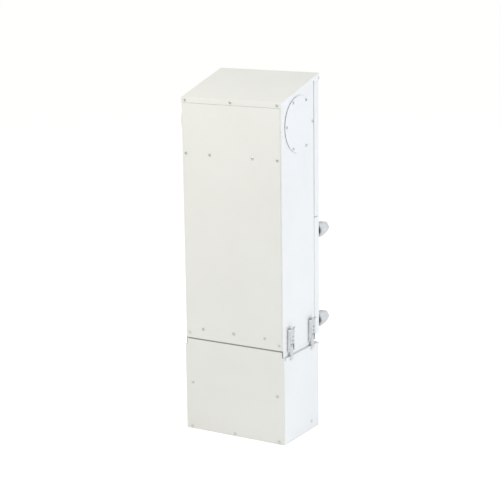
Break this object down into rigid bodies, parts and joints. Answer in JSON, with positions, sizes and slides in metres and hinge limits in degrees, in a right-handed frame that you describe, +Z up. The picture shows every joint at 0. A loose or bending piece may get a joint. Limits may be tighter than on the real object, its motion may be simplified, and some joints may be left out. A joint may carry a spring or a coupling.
{
  "type": "dust collector",
  "caption": "Slim floor-standing dust collector cabinet in white sheet steel with a sloped lid, a round blanking plate, a knob-held rear door and a latched collecting bin.",
  "frame": {"origin": "middle of the underside of the bin, on the floor", "axes": "+Z up, the front panel faces -Y, +X is the right-hand side seen from the front"},
  "size_m": [0.3708, 0.2813, 1.0605],
  "materials": {
    "powder_coat": "satin powder coat",
    "inner_frame": "galvanised",
    "bright_steel": "bright zinc plated",
    "dark_foam": "closed-cell foam",
    "light_foam": "closed-cell foam",
    "grey_plastic": "moulded",
    "motor_paint": "satin",
    "filter_paper": "pleated",
    "cap_rubber": "moulded"
  },
  "bodies": {
    "cabinet": {"bin_gasket": "light_foam", "cable_gland": "grey_plastic", "fan_inlet_ring": "inner_frame", "fan_motor": "motor_paint", "filter_bottom_cap": "cap_rubber", "filter_media": "filter_paper", "filter_tie_rod": "bright_steel", "filter_top_cap": "cap_rubber", "front_panel": "powder_coat", "hopper_frame": "inner_frame", "inlet_spigot": "powder_coat", "latch_base_left_front": "bright_steel", "latch_base_left_rear": "bright_steel", "latch_base_right_front": "bright_steel", "latch_base_right_rear": "bright_steel", "left_nut_strip": "inner_frame", "left_side_panel": "powder_coat", "motor_bridge": "inner_frame", "outlet_spigot": "powder_coat", "partition_plate": "inner_frame", "port_cover": "powder_coat", "port_gasket": "dark_foam", "port_screw_1": "bright_steel", "port_screw_2": "bright_steel", "port_screw_3": "bright_steel", "port_screw_4": "bright_steel", "port_screw_5": "bright_steel", "port_screw_6": "bright_steel", "rear_panel": "powder_coat", "right_nut_strip": "inner_frame", "right_side_panel": "powder_coat", "roof_lid": "powder_coat", "seam_seal": "dark_foam", "top_rail": "inner_frame"},
    "bin": {"bin_tub": "powder_coat", "bin_floor": "inner_frame", "bin_front_plate": "powder_coat", "bin_rim_left": "powder_coat", "bin_rim_right": "powder_coat"},
    "door": {"access_door": "powder_coat", "door_gasket": "light_foam"},
    "fan_rotor": {"impeller": "bright_steel", "motor_shaft": "bright_steel"},
    "wing_nut": {"filter_wing_nut": "bright_steel"},
    "knob_left_lower": {"star_knob_left_lower": "grey_plastic", "knob_stud_left_lower": "bright_steel"},
    "knob_left_upper": {"star_knob_left_upper": "grey_plastic", "knob_stud_left_upper": "bright_steel"},
    "knob_right_lower": {"star_knob_right_lower": "grey_plastic", "knob_stud_right_lower": "bright_steel"},
    "knob_right_upper": {"star_knob_right_upper": "grey_plastic", "knob_stud_right_upper": "bright_steel"},
    "lever_left_front": {"latch_lever_left_front": "bright_steel"},
    "claw_left_front": {"latch_claw_left_front": "bright_steel"},
    "lever_left_rear": {"latch_lever_left_rear": "bright_steel"},
    "claw_left_rear": {"latch_claw_left_rear": "bright_steel"},
    "lever_right_front": {"latch_lever_right_front": "bright_steel"},
    "claw_right_front": {"latch_claw_right_front": "bright_steel"},
    "lever_right_rear": {"latch_lever_right_rear": "bright_steel"},
    "claw_right_rear": {"latch_claw_right_rear": "bright_steel"}
  },
  "joints": [
    {"name": "bin_slide", "type": "slide", "parent": "cabinet", "child": "bin", "axis": [0, -1, 0], "range_m": [0, 0.2]},
    {"name": "door_pull", "type": "slide", "parent": "cabinet", "child": "door", "axis": [0, 1, 0], "range_m": [0, 0.12]},
    {"name": "fan_spin", "type": "hinge", "parent": "cabinet", "child": "fan_rotor", "pos_m": [0, -0.014, 0.898], "axis": [0, 0, 1], "continuous": true},
    {"name": "wing_nut_turn", "type": "hinge", "parent": "cabinet", "child": "wing_nut", "pos_m": [0, -0.014, 0.5353], "axis": [0, 0, 1], "continuous": true},
    {"name": "knob_turn_left_lower", "type": "hinge", "parent": "door", "child": "knob_left_lower", "pos_m": [-0.15, 0.109, 0.3235], "axis": [0, 1, 0], "continuous": true},
    {"name": "knob_turn_left_upper", "type": "hinge", "parent": "door", "child": "knob_left_upper", "pos_m": [-0.15, 0.109, 0.596], "axis": [0, 1, 0], "continuous": true},
    {"name": "knob_turn_right_lower", "type": "hinge", "parent": "door", "child": "knob_right_lower", "pos_m": [0.15, 0.109, 0.3235], "axis": [0, 1, 0], "continuous": true},
    {"name": "knob_turn_right_upper", "type": "hinge", "parent": "door", "child": "knob_right_upper", "pos_m": [0.15, 0.109, 0.596], "axis": [0, 1, 0], "continuous": true},
    {"name": "lever_pull_left_front", "type": "hinge", "parent": "cabinet", "child": "lever_left_front", "pos_m": [-0.172, -0.073, 0.284], "axis": [0, -1, 0], "range_deg": [0, 100]},
    {"name": "claw_swing_left_front", "type": "hinge", "parent": "lever_left_front", "child": "claw_left_front", "pos_m": [-0.171, -0.073, 0.293], "axis": [0, -1, 0], "range_deg": [-100, 0]},
    {"name": "lever_pull_left_rear", "type": "hinge", "parent": "cabinet", "child": "lever_left_rear", "pos_m": [-0.172, 0.052, 0.284], "axis": [0, -1, 0], "range_deg": [0, 100]},
    {"name": "claw_swing_left_rear", "type": "hinge", "parent": "lever_left_rear", "child": "claw_left_rear", "pos_m": [-0.171, 0.052, 0.293], "axis": [0, -1, 0], "range_deg": [-100, 0]},
    {"name": "lever_pull_right_front", "type": "hinge", "parent": "cabinet", "child": "lever_right_front", "pos_m": [0.172, -0.073, 0.284], "axis": [0, 1, 0], "range_deg": [0, 100]},
    {"name": "claw_swing_right_front", "type": "hinge", "parent": "lever_right_front", "child": "claw_right_front", "pos_m": [0.171, -0.073, 0.293], "axis": [0, 1, 0], "range_deg": [-100, 0]},
    {"name": "lever_pull_right_rear", "type": "hinge", "parent": "cabinet", "child": "lever_right_rear", "pos_m": [0.172, 0.052, 0.284], "axis": [0, 1, 0], "range_deg": [0, 100]},
    {"name": "claw_swing_right_rear", "type": "hinge", "parent": "lever_right_rear", "child": "claw_right_rear", "pos_m": [0.171, 0.052, 0.293], "axis": [0, 1, 0], "range_deg": [-100, 0]}
  ],
  "couplings": [
    {"joint": "claw_swing_left_front", "follows": "lever_pull_left_front", "ratio": -1},
    {"joint": "claw_swing_left_rear", "follows": "lever_pull_left_rear", "ratio": -1},
    {"joint": "claw_swing_right_front", "follows": "lever_pull_right_front", "ratio": -1},
    {"joint": "claw_swing_right_rear", "follows": "lever_pull_right_rear", "ratio": -1}
  ]
}
